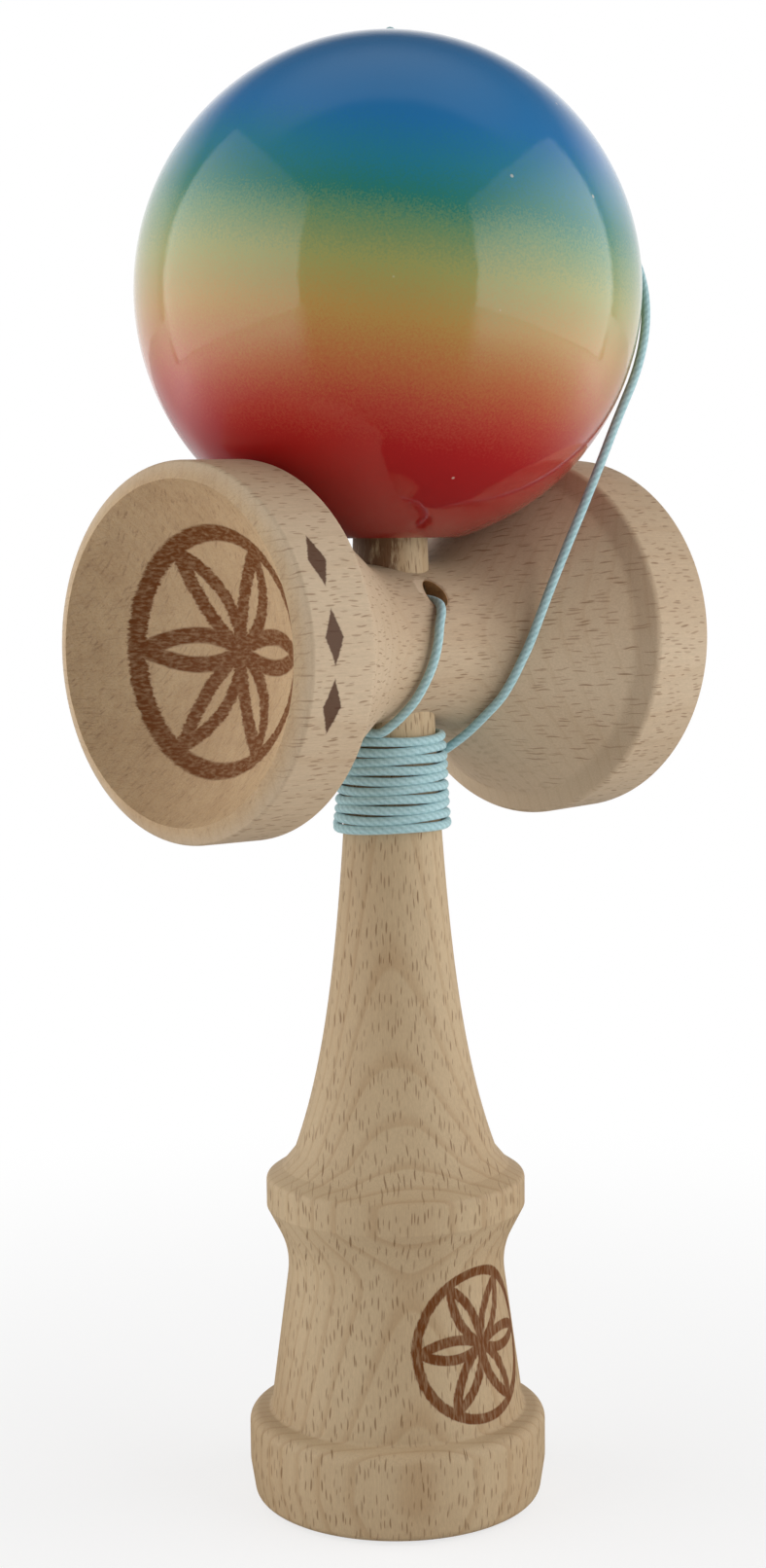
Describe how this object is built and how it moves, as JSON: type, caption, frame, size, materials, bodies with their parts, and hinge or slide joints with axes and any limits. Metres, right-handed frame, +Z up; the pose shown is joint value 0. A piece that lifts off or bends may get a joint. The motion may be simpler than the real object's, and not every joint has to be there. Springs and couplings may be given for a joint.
{
  "type": "cup and ball toy",
  "caption": "Turned beech handle with a spike and base cup, a crosspiece with a cup at each end, and a lacquered ball tied on by a string wound round the neck.",
  "frame": {"origin": "centre of the base cup's rim, on the floor that the toy stands on", "axes": "+Z up the handle to the spike and ball, +X out of the big cup, -Y to the front, where the string leaves the crosspiece"},
  "size_m": [0.0682, 0.06, 0.1774],
  "materials": {
    "beech": "fine turned beech, bare, satin",
    "ball_lacquer": "high gloss lacquer faded from blue at the top through green and yellow to red at the bottom",
    "bead": "bare wood",
    "cord": "fine pale blue braid"
  },
  "bodies": {
    "handle": {"handle": "beech", "cup_crosspiece": "beech", "anchor_knot": "cord", "string_lead": "cord", "string_winding": "cord", "string_riser": "cord"},
    "string_end": {"string_over_ball": "cord", "bead": "bead", "stop_knot": "cord"},
    "ball": {"ball": "ball_lacquer"}
  },
  "joints": [
    {"name": "ball_lift", "type": "slide", "parent": "handle", "child": "string_end", "axis": [0, 0, 1], "range_m": [0, 0.06], "deforming": ["string_riser"]},
    {"name": "ball_spin", "type": "hinge", "parent": "string_end", "child": "ball", "pos_m": [0, 0, 0.14618], "axis": [0, 0, 1], "continuous": true}
  ]
}
